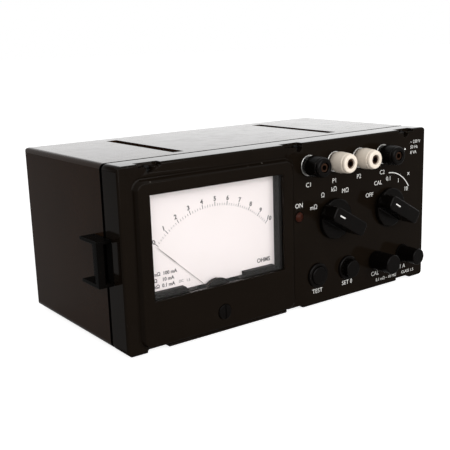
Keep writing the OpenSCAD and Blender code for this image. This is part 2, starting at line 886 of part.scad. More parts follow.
module front_bridge() {
    color(brass) panel_space() at_pivot() difference() {
        union() {
            slab(2 * bridge_post_x + bridge_w, bridge_w, -bridge_front - bridge_t, -bridge_front);
            bar(boss_ring_r, -bridge_front - bridge_t, -lever_front);
            for (sx = [-1, 1])
                translate([sx * bridge_post_x, 0, 0])
                    bar(bridge_post_r, -shoe_front, -bridge_front - bridge_t);
        }
        bar(jewel_r, -bridge_front - bridge_t - eps, -lever_front + eps);
    }
}

module rear_bridge() {
    color(brass) panel_space() at_pivot() difference() {
        union() {
            slab(2 * bridge_post_x + bridge_w, bridge_w,
                 -rear_bridge_front - rear_bridge_t, -rear_bridge_front);
            for (sx = [-1, 1])
                translate([sx * bridge_post_x, 0, 0]) bar(bridge_post_r, -rear_bridge_front, -shoe_back);
        }
        bar(jewel_r, -rear_bridge_front - rear_bridge_t - eps, -rear_bridge_front + eps);
    }
}

module jewel_bearings() {
    color("#b0203a") panel_space() at_pivot() difference() {
        union() {
            bar(jewel_r, -bridge_front - bridge_t, -lever_front);
            bar(jewel_r, -rear_bridge_front - rear_bridge_t, -rear_bridge_front);
        }
        bar(staff_r + run_fit, -staff_back - eps, -staff_front + eps);
    }
}

module pivot_staff() {
    color(steel) panel_space() at_pivot() bar(staff_r, -staff_back, -staff_front);
}

module moving_coil() {
    color("#a5552a") panel_space() at_pivot() rotate([0, 0, half_sweep]) difference() {
        slab(2 * coil_out, coil_w, -coil_back, -coil_front);
        slab(2 * coil_in, coil_w + eps, -coil_back + coil_bar, -coil_front - coil_bar);
        bar(staff_r, -coil_back - eps, -coil_front + eps);
    }
}

module needle() {
    color("#201d1a") panel_space() at_pivot() rotate([0, 0, half_sweep]) difference() {
        union() {
            bar(needle_hub_r, -needle_front - needle_t, -needle_front);
            translate([0, 0, -needle_front - needle_t]) linear_extrude(needle_t)
                polygon([[-needle_root / 2, -needle_tail], [needle_root / 2, -needle_tail],
                         [needle_tip / 2, needle_len], [-needle_tip / 2, needle_len]]);
            translate([0, -needle_tail, 0]) bar(weight_r, -needle_front - needle_t, -needle_front);
        }
        bar(staff_r, -needle_front - needle_t - eps, -needle_front + eps);
    }
}

// Point of the hairspring's spiral, t from 0 to 1, moved out by half its thickness or in
function spiral_point(t, shift) =
    let (r = spring_in + (spring_out - spring_in) * t + shift, a = 360 * spring_turns * t)
    [r * cos(a), r * sin(a)];

module hairspring() {
    steps = 24 * spring_turns;
    gap = (rear_bridge_front - coil_back - spring_w) / 2;
    color("#c9a24a") panel_space() at_pivot() translate([0, 0, -coil_back - gap - spring_w]) {
        linear_extrude(spring_w) polygon(concat(
            [for (i = [0:steps]) spiral_point(i / steps, spring_t / 2)],
            [for (i = [steps:-1:0]) spiral_point(i / steps, -spring_t / 2)]));
        difference() {
            cylinder(r = spring_in, h = spring_w);
            translate([0, 0, -eps]) cylinder(r = staff_r, h = spring_w + 2 * eps);
        }
    }
}

module zero_lever() {
    pin_drop = zero_drop - zero_throw;
    color(brass) panel_space() at_pivot() difference() {
        union() {
            bar(boss_ring_r + 1.4, -lever_front - lever_t, -lever_front);
            translate([0, -pin_drop / 2 - 1, 0])
                slab(lever_w, pin_drop + 2, -lever_front - lever_t, -lever_front);
        }
        bar(boss_ring_r + run_fit, -lever_front - lever_t - eps, -lever_front + eps);
        translate([0, -pin_drop - 1, 0])
            slab(2 * pin_slot, 2 * pin_r + 3, -lever_front - lever_t - eps, -lever_front + eps);
    }
}

module at_zero_screw() {
    translate([window_x, pivot_z - zero_drop, 0]) children();
}

module zero_screw() {
    head_front = bezel_rise + 0.6;
    shaft_end = panel_t + 2 * move_gap;
    color(black) panel_space() at_zero_screw() {
        difference() {
            bar(zero_head_dia / 2, zero_seat + move_gap, head_front);
            slab(zero_slot, zero_head_dia + eps, head_front - zero_slot / 2, head_front + eps);
        }
        bar(zero_shaft_r, -shaft_end, zero_seat + move_gap);
        translate([0, zero_throw, 0]) bar(pin_r, -bridge_front + move_gap / 2, -shaft_end);
    }
}

module lamp_lens() {
    lens_r = lens_dia / 2;
    dome_r = (lens_r * lens_r + lens_dome * lens_dome) / (2 * lens_dome);
    color("#7a1410") panel_space() translate([lamp_x, lamp_z, 0]) intersection() {
        bar(lens_r, -panel_t, lamp_rim + 2 * lens_dome);
        translate([0, 0, lamp_rim + lens_dome - dome_r]) sphere(dome_r);
    }
}

module lamp_holder() {
    color(black) panel_space() translate([lamp_x, lamp_z, 0]) difference() {
        union() {
            bar(lamp_hole_r, -lamp_back, lamp_rim);
            bar(lamp_flange_r, -panel_t - lamp_flange_t, -panel_t);
        }
        bar(lens_dia / 2, -panel_t, lamp_rim + eps);
    }
}

// Terminals

module terminal_posts() {
    color(brass) panel_space() at_terminals() difference() {
        union() {
            bar(post_dia / 2, -post_back, post_front);
            bar(shoulder_r, washer_t, washer_t + shoulder_t);
        }
        bar(socket_dia / 2, post_front - socket_d, post_front + eps);
    }
}

module terminal_washers() {
    color("#d8d9da") panel_space() at_terminals() difference() {
        bar(washer_dia / 2, 0, washer_t);
        bar(post_dia / 2, -eps, washer_t + eps);
    }
}

module terminal_bushes() {
    color("#5a4a38") panel_space() at_terminals() difference() {
        union() {
            bar(bush_r, -panel_t - bush_flange_t, 0);
            bar(bush_flange_r, -panel_t - bush_flange_t, -panel_t);
        }
        bar(post_dia / 2, -panel_t - bush_flange_t - eps, eps);
    }
}

module terminal_nuts() {
    nut_front = panel_t + bush_flange_t;
    color(brass) panel_space() at_terminals() difference() {
        translate([0, 0, -nut_front - nut_h]) cylinder(r = nut_r, h = nut_h, $fn = 6);
        bar(post_dia / 2, -nut_front - nut_h - eps, -nut_front + eps);
    }
}

module terminal_cap(i, tint) {
    barrel_r = barrel_dia / 2;
    ring_r = ring_dia / 2;
    neck = terminal_reach - ring_len;
    belly = cap_back + (neck - cap_back) / 3;
    color(tint) panel_space() translate([terminal_xs[i], terminal_z, 0]) difference() {
        rotate_extrude() polygon([
            [0, cap_back], [heel_dia / 2, cap_back], [barrel_r, belly], [ring_r + ring_step, neck],
            [ring_r, neck], [ring_r, terminal_reach - ring_chamfer],
            [ring_r - ring_chamfer, terminal_reach], [0, terminal_reach]]);
        bar(post_dia / 2 + run_fit, cap_back - eps, post_front + move_gap);
        bar(mouth_dia / 2, post_front - mouth_lap, terminal_reach + eps);
    }
}

// Rotary switches

module bar_knob(i) {
    color(black) panel_space() at_switch(i) rotate([0, 0, rest_angle]) difference() {
        union() {
            bar(skirt_dia / 2, skirt_gap, skirt_gap + skirt_h);
            rounded_slab(bar_w, bar_len, bar_w / 4, skirt_gap + skirt_h, knob_reach);
        }
        bar(skirt_recess_r, skirt_gap - eps, skirt_recess_h);
        bar(shaft_r, skirt_recess_h - eps, shaft_front);
    }
}

module switch_shaft(i) {
    color(steel) panel_space() at_switch(i) {
        bar(shaft_r, -wafer_front - 4, shaft_front);
        bar(rotor_r, -wafer_front - wafer_t, -wafer_front);
    }
}

module switch_body(i) {
    color("#6b6e70") panel_space() at_switch(i) difference() {
        union() {
            slab(housing_w, housing_w, -housing_back, -panel_t);
            bar(bush_switch_r, -panel_t - eps, switch_nut_h + 0.4);
        }
        bar(shaft_r + run_fit, -housing_back - eps, switch_nut_h + 1);
    }
}

module switch_wafers() {
    color("#8a5a30") panel_space() for (i = [0, 1]) at_switch(i) {
        difference() {
            bar(wafer_r, -wafer_front - wafer_t, -wafer_front);
            bar(rotor_r + move_gap, -wafer_front - wafer_t - eps, -wafer_front + eps);
        }
        for (sx = [-1, 1]) translate([sx * spacer_x, 0, 0]) bar(spacer_r, -wafer_front, -housing_back);
    }
}

module switch_nuts() {
    color(steel) panel_space() for (i = [0, 1]) at_switch(i) difference() {
        cylinder(r = switch_nut_r, h = switch_nut_h, $fn = 6);
        bar(bush_switch_r, -eps, switch_nut_h + eps);
    }
}

// Lower row

module control_collars() {
    outer_r = collar_dia / 2;
    round_r = collar_h / 2;
    color(black) panel_space() for (i = [0, 1]) at_row(i) rotate_extrude() {
        translate([hole_r + move_gap / 2, 0]) square([outer_r - round_r - hole_r - move_gap / 2, collar_h]);
        translate([outer_r - round_r, 0]) square([round_r, round_r]);
        translate([outer_r - round_r, round_r]) circle(round_r);
    }
}

module test_button() {
    color(black) panel_space() at_row(0) {
        bar(button_r, -button_foot, button_reach);
        bar(stem_r, -button_back + 1, -button_foot);
    }
}

module button_switch() {
    color("#3a3833") panel_space() at_row(0) difference() {
        bar(button_body_r, -button_back, -panel_t);
        bar(hole_r, -button_pocket, -panel_t + eps);
        bar(stem_r + run_fit, -button_back - eps, -panel_t);
    }
}

// Ring of the button's spring at step i of n: points round the wire, on a helix about Z
function helix_ring(i, n, low, high) =
    let (t = i / n, a = 360 * coil_spring_turns * t, z = low + (high - low) * t)
    [for (k = [0:coil_sides - 1]) let (b = 360 * k / coil_sides, r = coil_spring_r + coil_wire_r * cos(b))
        [r * cos(a), r * sin(a), z + coil_wire_r * sin(b)]];

module button_spring() {
    low = -button_pocket + coil_wire_r;
    high = -button_foot - coil_wire_r;
    steps = coil_spring_turns * coil_steps;
    rings = [for (i = [0:steps]) each helix_ring(i, steps, low, high)];
    last = steps * coil_sides;
    sides = [for (i = [0:steps - 1], k = [0:coil_sides - 1]) let (
        a = i * coil_sides + k, b = i * coil_sides + (k + 1) % coil_sides) each
        [[a, a + coil_sides, b], [b, a + coil_sides, b + coil_sides]]];
    caps = [for (k = [1:coil_sides - 2]) each [[0, k, k + 1], [last, last + k + 1, last + k]]];
    color(steel) panel_space() at_row(0) polyhedron(rings, concat(sides, caps));
}

module zero_knob() {
    grips = 16;
    grip_r = 0.6;
    color(black) panel_space() at_row(1) {
        difference() {
            bar(button_r, skirt_gap, zero_reach);
            for (k = [0:grips - 1]) rotate([0, 0, k * 360 / grips])
                translate([button_r + grip_r / 2, 0, 0]) bar(grip_r, collar_h, zero_reach - 1);
        }
        bar(zero_stem_r, -panel_t - zero_pot_d + 1, skirt_gap);
    }
}

module zero_pot() {
    color("#4b6d86") panel_space() at_row(1) difference() {
        union() {
            bar(zero_pot_r, -panel_t - zero_pot_d, -panel_t);
            bar(zero_bush_r, -panel_t - eps, 0);
        }
        bar(zero_stem_r + run_fit, -panel_t - zero_pot_d + 1 - move_gap, eps);
    }
}

module cal_knob() {
    color(black) panel_space() at_row(2) difference() {
        bar(cal_dia / 2, skirt_gap, cal_reach);
        bar(cal_shaft_r, skirt_gap - eps, cal_reach - 4);
    }
}

module cal_shaft() {
    color(steel) panel_space() at_row(2) bar(cal_shaft_r, -panel_t - cal_pot_d + 1, cal_reach - 4);
}

module cal_pot() {
    color("#4b6d86") panel_space() at_row(2) difference() {
        union() {
            bar(cal_pot_r, -panel_t - cal_pot_d, -panel_t);
            bar(cal_bush_r, -panel_t - eps, 0);
        }
        bar(cal_shaft_r + run_fit, -panel_t - cal_pot_d + 1 - move_gap, eps);
    }
}

module fuse_holder() {
    color(black) panel_space() at_row(3) difference() {
        union() {
            bar(fuse_tube_r, -fuse_tube_d, fuse_flange_t);
            bar(fuse_cap_dia / 2 + 1, 0, fuse_flange_t);
        }
        bar(fuse_bore_r, -fuse_tube_d + fuse_end_t, fuse_flange_t + eps);
    }
}

module fuse_cap() {
    cap_foot = fuse_flange_t + move_gap;
    color(black) panel_space() at_row(3) difference() {
        union() {
            bar(fuse_cap_dia / 2, cap_foot, fuse_reach);
            bar(fuse_bore_r - run_fit, -fuse_stem_d, cap_foot);
        }
        bar(fuse_dia / 2, -fuse_stem_d - eps, -fuse_stem_d + fuse_grip);
    }
}

module fuse_link() {
    color("#c9ccd0") panel_space() at_row(3)
        bar(fuse_dia / 2, -fuse_stem_d + fuse_grip - fuse_len, -fuse_stem_d + fuse_grip);
}

// Inside

module main_board() {
    color("#2f6b3c") panel_space() translate([board_x, board_mid, 0])
        slab(board_w, board_h, -board_z, -board_z + board_t);
}

module board_parts() {
    face = -board_z + board_t;
    chip_dx = chip[0] + chip_gap[0];
    chip_dy = chip[1] + chip_gap[1];
    first_chip = board_x - board_w / 2 + chip_inset + chip[0] / 2;
    capacitor_dx = 2 * capacitor_r + capacitor_gap;
    last_capacitor = board_x + board_w / 2 - chip_inset - capacitor_r;
    color("#2a2a2c") panel_space() {
        for (i = [0:2], j = [0:2])
            translate([first_chip + i * chip_dx, board_mid + (j - 1) * chip_dy, 0])
                slab(chip[0], chip[1], face, face + chip[2]);
        for (i = [0:2])
            translate([last_capacitor - i * capacitor_dx, board_mid + board_h / 4, 0])
                bar(capacitor_r, face, face + capacitor_h);
    }
}

module at_transformer() {
    translate([transformer_x, case_floor + core_h / 2, -transformer_back + core_d / 2]) children();
}

module transformer_core() {
    color("#5d6064") panel_space() at_transformer() difference() {
        cube([core_w, core_h, core_d], center = true);
        for (sx = [-1, 1]) translate([sx * (leg_w + yoke_w) / 2, 0, 0])
            cube([yoke_w, core_h - 2 * yoke_w, core_d + eps], center = true);
    }
}

module transformer_winding() {
    window_h_inner = core_h - 2 * yoke_w;
    color("#b06a2c") panel_space() at_transformer() difference() {
        cube([leg_w + 2 * yoke_w - 2 * lay_fit, window_h_inner - 2 * lay_fit, core_d + 2 * winding_lap],
             center = true);
        cube([leg_w, window_h_inner, core_d], center = true);
    }
}

module supply_inlet() {
    outer_w = inlet_w + 2 * inlet_wall;
    outer_h = inlet_h + 2 * inlet_wall;
    back = -body_d;
    flange = 4;
    color(black) panel_space() translate([inlet_x, inlet_z, 0]) {
        difference() {
            union() {
                slab(outer_w, outer_h, back, back + inlet_d + inlet_wall);
                slab(outer_w + 2 * flange, outer_h + 2 * flange,
                     back + case_wall, back + case_wall + inlet_wall);
            }
            slab(inlet_w, inlet_h, back - eps, back + inlet_d);
        }
        for (sx = [-1, 1]) translate([sx * inlet_pin_dx, 0, 0])
            bar(inlet_pin_r, back + 1, back + inlet_d + inlet_wall / 2);
    }
}

rear_case();
front_panel();
case_feet();
case_screws();
strap_lug(-1);  // strap_lug_left
strap_lug(1);  // strap_lug_right
meter_glass();
dial_frame();
dial_plate();
hub_cover();
pole_shoes();
magnet_bars();
movement_frame();
iron_core();
core_keys();
front_bridge();
rear_bridge();
jewel_bearings();
pivot_staff();
moving_coil();
needle();
hairspring();
zero_lever();
zero_screw();
lamp_lens();
lamp_holder();
terminal_posts();
terminal_washers();
terminal_bushes();
terminal_nuts();
terminal_cap(0, black);  // terminal_cap_1
terminal_cap(1, ivory);  // terminal_cap_2
terminal_cap(2, ivory);  // terminal_cap_3
terminal_cap(3, black);  // terminal_cap_4
bar_knob(0);  // range_knob
switch_shaft(0);  // range_shaft
switch_body(0);  // range_switch
bar_knob(1);  // mode_knob
switch_shaft(1);  // mode_shaft
switch_body(1);  // mode_switch
switch_wafers();
switch_nuts();
control_collars();
test_button();
button_spring();
button_switch();
zero_knob();
zero_pot();
cal_knob();
cal_shaft();
cal_pot();
fuse_holder();
fuse_cap();
fuse_link();
main_board();
board_parts();
transformer_core();
transformer_winding();
supply_inlet();
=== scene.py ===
import json
import math

import bmesh
import bpy
from mathutils import Matrix, Vector


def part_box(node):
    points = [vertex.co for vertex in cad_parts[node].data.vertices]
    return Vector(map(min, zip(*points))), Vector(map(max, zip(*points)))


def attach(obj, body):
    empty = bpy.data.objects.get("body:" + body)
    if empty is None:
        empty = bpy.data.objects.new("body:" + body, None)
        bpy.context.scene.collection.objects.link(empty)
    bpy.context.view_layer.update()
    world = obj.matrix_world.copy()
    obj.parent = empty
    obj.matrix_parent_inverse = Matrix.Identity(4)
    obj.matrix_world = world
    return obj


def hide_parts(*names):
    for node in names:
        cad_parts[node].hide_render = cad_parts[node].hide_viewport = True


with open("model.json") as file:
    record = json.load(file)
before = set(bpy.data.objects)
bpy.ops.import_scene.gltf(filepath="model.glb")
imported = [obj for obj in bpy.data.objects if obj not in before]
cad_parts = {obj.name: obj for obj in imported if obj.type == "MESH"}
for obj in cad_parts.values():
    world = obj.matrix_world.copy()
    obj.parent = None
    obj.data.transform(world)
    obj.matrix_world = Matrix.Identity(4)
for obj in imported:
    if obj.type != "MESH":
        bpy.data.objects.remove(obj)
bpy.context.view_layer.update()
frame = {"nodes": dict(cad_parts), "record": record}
nodes = frame["nodes"]
record = frame["record"]
mm = 0.001

bodyOf = {node: body for body, names in record["behaviour"]["bodies"].items() for node in names}
slotOf = {part["node"]: part["material_slot"] for part in record["subparts"]}


def middleOf(name):
    low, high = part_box(name)
    return (Vector(low) + Vector(high)) / 2


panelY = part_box("terminal_washers")[1][1]  # the panel's face
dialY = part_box("dial_plate")[0][1]  # the dial's printed face
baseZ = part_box("front_panel")[0][2]  # the lower edge of the frame
pivot = middleOf("pivot_staff")

print("frame loaded:", len(nodes), "nodes")


# Procedural finishes

def addNode(tree, kind, **sockets):
    made = tree.nodes.new(kind)
    for key, value in sockets.items():
        if key in made.inputs:
            made.inputs[key].default_value = value
        else:
            setattr(made, key, value)
    return made


def freshMaterial(name):
    made = bpy.data.materials.new(name)
    made.use_nodes = True
    tree = made.node_tree
    tree.nodes.clear()
    out = addNode(tree, "ShaderNodeOutputMaterial")
    skin = addNode(tree, "ShaderNodeBsdfPrincipled")
    tree.links.new(skin.outputs["BSDF"], out.inputs["Surface"])
    return made, tree, skin


def placeTexture(tree, stretch=(1, 1, 1)):
    where = addNode(tree, "ShaderNodeTexCoord")
    turn = addNode(tree, "ShaderNodeMapping")
    turn.inputs["Scale"].default_value = stretch
    tree.links.new(where.outputs["Object"], turn.inputs["Vector"])
    return turn.outputs["Vector"]


def noiseAt(tree, place, scale, detail=4.0, rough=0.55):
    noise = addNode(tree, "ShaderNodeTexNoise", Scale=scale, Detail=detail, Roughness=rough)
    tree.links.new(place, noise.inputs["Vector"])
    return noise.outputs["Fac"]


def rangeOf(tree, value, low, high, fromLow=0.3, fromHigh=0.7):
    step = addNode(tree, "ShaderNodeMapRange")
    step.inputs["From Min"].default_value = fromLow
    step.inputs["From Max"].default_value = fromHigh
    step.inputs["To Min"].default_value = low
    step.inputs["To Max"].default_value = high
    tree.links.new(value, step.inputs["Value"])
    return step.outputs["Result"]


def mixColors(tree, factor, first, second):
    mix = addNode(tree, "ShaderNodeMix", data_type="RGBA")
    tree.links.new(factor, mix.inputs["Factor"])
    for key, color in (("A", first), ("B", second)):
        socket = [s for s in mix.inputs if s.name == key and s.type == "RGBA"][0]
        if isinstance(color, tuple):
            socket.default_value = (*color, 1)
        else:
            tree.links.new(color, socket)
    return [s for s in mix.outputs if s.type == "RGBA"][0]


# Dust lies on faces that look up: small round specks from the cells of a Voronoi pattern
dustLook = {"cells": 170.0, "speck": (0.05, 0.11), "patches": 60, "patch": (0.56, 0.6), "upward": (0.7, 0.95),
            "color": (0.30, 0.28, 0.25)}
seamShadeLook = {"depth": 3.1, "color": (0.0016, 0.0013, 0.0011)}  # painted shade: the case is painted near-black in the seam behind the front frame


def dustMask(tree, place, amount):
    look = dustLook
    cells = addNode(tree, "ShaderNodeTexVoronoi", Scale=look["cells"])
    tree.links.new(place, cells.inputs["Vector"])
    speck = rangeOf(tree, cells.outputs["Distance"], 1, 0, *look["speck"])
    patch = rangeOf(tree, noiseAt(tree, place, look["patches"]), 0, 1, *look["patch"])
    facing = addNode(tree, "ShaderNodeNewGeometry")
    split = addNode(tree, "ShaderNodeSeparateXYZ")
    tree.links.new(facing.outputs["Normal"], split.inputs["Vector"])
    upward = rangeOf(tree, split.outputs["Z"], 0, amount, *look["upward"])
    both = addNode(tree, "ShaderNodeMath", operation="MULTIPLY")
    tree.links.new(speck, both.inputs[0])
    tree.links.new(patch, both.inputs[1])
    masked = addNode(tree, "ShaderNodeMath", operation="MULTIPLY")
    tree.links.new(both.outputs[0], masked.inputs[0])
    tree.links.new(upward, masked.inputs[1])
    return masked.outputs[0]


# One builder for every solid finish: two tones in soft patches, uneven gloss and a fine grain
def solidFinish(name, look):
    made, tree, skin = freshMaterial(name)
    place = placeTexture(tree, look.get("stretch", (1, 1, 1)))
    patches = rangeOf(tree, noiseAt(tree, place, look["patch"]), 0, 1)
    tone = mixColors(tree, patches, look["color"], look["shade"])
    gloss = rangeOf(tree, noiseAt(tree, place, look["smear"], detail=6), *look["rough"])
    if "dust" in look:
        mask = dustMask(tree, place, look["dust"])
        tone = mixColors(tree, mask, tone, dustLook["color"])
    if "seamShadeEnd" in look:  # painted shade: what lies in front of this depth, in the seam behind the front frame, is painted dark
        split = addNode(tree, "ShaderNodeSeparateXYZ")
        tree.links.new(place, split.inputs["Vector"])
        seamShade = addNode(tree, "ShaderNodeMath", operation="LESS_THAN")
        tree.links.new(split.outputs["Y"], seamShade.inputs[0])
        seamShade.inputs[1].default_value = look["seamShadeEnd"]
        tone = mixColors(tree, seamShade.outputs[0], tone, seamShadeLook["color"])
    tree.links.new(tone, skin.inputs["Base Color"])
    tree.links.new(gloss, skin.inputs["Roughness"])
    skin.inputs["Metallic"].default_value = look.get("metal", 0.0)
    skin.inputs["IOR"].default_value = look.get("ior", 1.5)
    bump = addNode(tree, "ShaderNodeBump", Strength=look.get("bite", 0.15), Distance=look["grainDepth"])
    tree.links.new(noiseAt(tree, place, look["grain"], detail=3), bump.inputs["Height"])
    tree.links.new(bump.outputs["Normal"], skin.inputs["Normal"])
    return made


finishLooks = {
    "case_plastic": {"color": (0.0220, 0.0095, 0.0038), "shade": (0.0180, 0.0078, 0.0032), "patch": 30,
                     "rough": (0.10, 0.17), "smear": 90, "grain": 1500, "grainDepth": 0.00004,
                     "ior": 1.12, "dust": 0.8,
                     # painted shade: the case is painted dark from its front edge back to this depth, in the
                     # seam
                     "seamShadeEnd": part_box("rear_case")[0][1] + seamShadeLook["depth"] * mm},
    "panel_plastic": {"color": (0.0074, 0.0049, 0.0031), "shade": (0.0062, 0.0041, 0.0026), "patch": 35,
                      "rough": (0.07, 0.13), "smear": 80, "grain": 1400, "grainDepth": 0.00003,
                      "ior": 1.115, "dust": 0.6},
    "knob_plastic": {"color": (0.0030, 0.0022, 0.0018), "shade": (0.0022, 0.0017, 0.0014), "patch": 120,
                     "rough": (0.16, 0.26), "smear": 260, "grain": 2600, "grainDepth": 0.00004, "ior": 1.15},
    "ivory_plastic": {"color": (0.83, 0.735, 0.625), "shade": (0.75, 0.655, 0.545), "patch": 160,
                      "rough": (0.30, 0.42), "smear": 300, "grain": 2400, "grainDepth": 0.00005},
    "foot_rubber": {"color": (0.022, 0.020, 0.018), "shade": (0.014, 0.013, 0.012), "patch": 200,
                    "rough": (0.65, 0.8), "smear": 300, "grain": 2500, "grainDepth": 0.0001},
    "screw_steel": {"color": (0.0050, 0.0046, 0.0044), "shade": (0.0036, 0.0033, 0.0032), "patch": 600,
                    "rough": (0.34, 0.48), "smear": 900, "grain": 5000, "grainDepth": 0.00003, "ior": 1.2},
    "washer_chrome": {"color": (0.62, 0.61, 0.59), "shade": (0.54, 0.53, 0.51), "patch": 400,
                      "rough": (0.24, 0.34), "smear": 700, "grain": 4000, "grainDepth": 0.00002,
                      "metal": 1.0},
    "dial_frame_plastic": {"color": (0.011, 0.0086, 0.0078), "shade": (0.0086, 0.007, 0.0062), "patch": 90,
                           "rough": (0.38, 0.5), "smear": 200, "grain": 2600, "grainDepth": 0.00006,
                           "ior": 1.12},
    "dial_paint": {"color": (0.90, 0.825, 0.815), "shade": (0.88, 0.805, 0.79), "patch": 40,
                   "rough": (0.42, 0.52), "smear": 150, "grain": 3000, "grainDepth": 0.00002},
    "needle_paint": {"color": (0.060, 0.046, 0.043), "shade": (0.075, 0.058, 0.054), "patch": 300,
                     "rough": (0.4, 0.5), "smear": 400, "grain": 3000, "grainDepth": 0.00002},
    "soft_iron": {"color": (0.30, 0.30, 0.31), "shade": (0.22, 0.22, 0.22), "patch": 120, "metal": 1.0,
                  "rough": (0.35, 0.5), "smear": 400, "grain": 3000, "grainDepth": 0.00004,
                  "stretch": (1, 8, 1)},
    "magnet_iron": {"color": (0.12, 0.12, 0.13), "shade": (0.08, 0.08, 0.09), "patch": 150, "metal": 0.9,
                    "rough": (0.45, 0.6), "smear": 300, "grain": 2200, "grainDepth": 0.00008},
    "movement_alloy": {"color": (0.60, 0.61, 0.62), "shade": (0.50, 0.51, 0.52), "patch": 150, "metal": 1.0,
                       "rough": (0.32, 0.45), "smear": 400, "grain": 2500, "grainDepth": 0.00005},
    # brass: far darker than clean brass, partly tarnish and partly painted shade, since its visible post ends
    # sit in shade inside the cap mouths
    "brass": {"color": (0.055, 0.027, 0.016), "shade": (0.036, 0.018, 0.011), "patch": 220, "metal": 1.0,
              "rough": (0.34, 0.5), "smear": 600, "grain": 4000, "grainDepth": 0.00003, "stretch": (1, 6, 1)},
    "jewel_ruby": {"color": (0.45, 0.02, 0.07), "shade": (0.30, 0.01, 0.05), "patch": 900,
                   "rough": (0.05, 0.09), "smear": 900, "grain": 4000, "grainDepth": 0.00001},
    "coil_copper": {"color": (0.50, 0.20, 0.08), "shade": (0.34, 0.12, 0.05), "patch": 500, "metal": 0.7,
                    "rough": (0.28, 0.42), "smear": 900, "grain": 6000, "grainDepth": 0.00008,
                    "stretch": (1, 1, 5)},
    "staff_steel": {"color": (0.55, 0.55, 0.56), "shade": (0.44, 0.44, 0.45), "patch": 300, "metal": 1.0,
                    "rough": (0.22, 0.34), "smear": 700, "grain": 4000, "grainDepth": 0.00003,
                    "stretch": (1, 6, 1)},
    "lamp_red": {"color": (0.040, 0.0095, 0.0045), "shade": (0.020, 0.0055, 0.0032), "patch": 420,
                 "rough": (0.26, 0.38), "smear": 500, "grain": 1600, "grainDepth": 0.0001, "ior": 1.14},
    "holder_plastic": {"color": (0.0026, 0.0021, 0.0018), "shade": (0.0019, 0.0016, 0.0014), "patch": 150,
                       "rough": (0.22, 0.34), "smear": 300, "grain": 2600, "grainDepth": 0.00006,
                       "ior": 1.07},
    "bush_resin": {"color": (0.24, 0.16, 0.09), "shade": (0.17, 0.11, 0.06), "patch": 200,
                   "rough": (0.45, 0.6), "smear": 300, "grain": 2200, "grainDepth": 0.0001},
    "switch_zinc": {"color": (0.48, 0.47, 0.44), "shade": (0.36, 0.35, 0.32), "patch": 140, "metal": 1.0,
                    "rough": (0.34, 0.48), "smear": 350, "grain": 2500, "grainDepth": 0.00005},
    "wafer_resin": {"color": (0.38, 0.22, 0.10), "shade": (0.29, 0.16, 0.07), "patch": 220,
                    "rough": (0.4, 0.55), "smear": 300, "grain": 2400, "grainDepth": 0.0001,
                    "stretch": (1, 1, 4)},
    "pot_blue": {"color": (0.10, 0.19, 0.29), "shade": (0.07, 0.14, 0.22), "patch": 160,
                 "rough": (0.32, 0.45), "smear": 300, "grain": 2200, "grainDepth": 0.00006},
    "fuse_glass": {"color": (0.62, 0.63, 0.62), "shade": (0.50, 0.51, 0.50), "patch": 260,
                   "rough": (0.06, 0.12), "smear": 300, "grain": 2000, "grainDepth": 0.00002},
    "board_green": {"color": (0.035, 0.15, 0.06), "shade": (0.025, 0.11, 0.045), "patch": 90,
                    "rough": (0.3, 0.42), "smear": 260, "grain": 1800, "grainDepth": 0.00008},
    "part_black": {"color": (0.030, 0.030, 0.032), "shade": (0.020, 0.020, 0.022), "patch": 200,
                   "rough": (0.35, 0.5), "smear": 300, "grain": 2200, "grainDepth": 0.00006},
    "core_steel": {"color": (0.22, 0.22, 0.23), "shade": (0.15, 0.15, 0.155), "patch": 200, "metal": 0.9,
                   "rough": (0.4, 0.55), "smear": 400, "grain": 1500, "grainDepth": 0.0002,
                   "stretch": (1, 14, 1)},
}

glassLook = {"tint": (0.60, 0.62, 0.61), "rough": (0.02, 0.06), "smear": 40, "alpha": 0.02, "gloss": 1.0}


# The window is clear: mostly see-through, with its gloss on top
def windowFinish():
    made, tree, skin = freshMaterial("window_glass")
    place = placeTexture(tree)
    smear = rangeOf(tree, noiseAt(tree, place, glassLook["smear"], detail=6), *glassLook["rough"])
    tree.links.new(smear, skin.inputs["Roughness"])
    skin.inputs["Base Color"].default_value = (*glassLook["tint"], 1)
    skin.inputs["Alpha"].default_value = glassLook["alpha"]
    skin.inputs["Specular IOR Level"].default_value = glassLook["gloss"]
    return made


finishes = {name: solidFinish(name, look) for name, look in finishLooks.items()}
finishes["window_glass"] = windowFinish()

for name, node in nodes.items():
    node.data.materials.clear()
    node.data.materials.append(finishes[slotOf[name]])

print("finishes made:", len(finishes))


# Pieces

def addPiece(name, mesh, body, slot, finish=None, replaced=()):
    piece = bpy.data.objects.new(name, mesh)
    bpy.context.scene.collection.objects.link(piece)
    mesh.materials.clear()
    mesh.materials.append(finish or finishes[slot])
    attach(piece, body)
    if replaced:
        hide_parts(*replaced)
    return piece


def smoothMesh(mesh, angle):
    for face in mesh.polygons:
        face.use_smooth = True
    mesh.set_sharp_from_angle(angle=math.radians(angle))


# The fine groove round the meter bezel keeps its crisp edges
grooveLook = {"front": -0.1, "floor": 1.0, "margin": 12}
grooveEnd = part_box("meter_glass")[1][0] + grooveLook["margin"] * mm  # right of the groove


def inBezelGroove(edge):
    front, floor = grooveLook["front"] * mm, grooveLook["floor"] * mm
    return all(front < vert.co.y - panelY < floor and vert.co.x < grooveEnd for vert in edge.verts)


softLook = {"merge": 0.002, "segments": 3, "sharpAngle": 35, "flatWeight": 100}


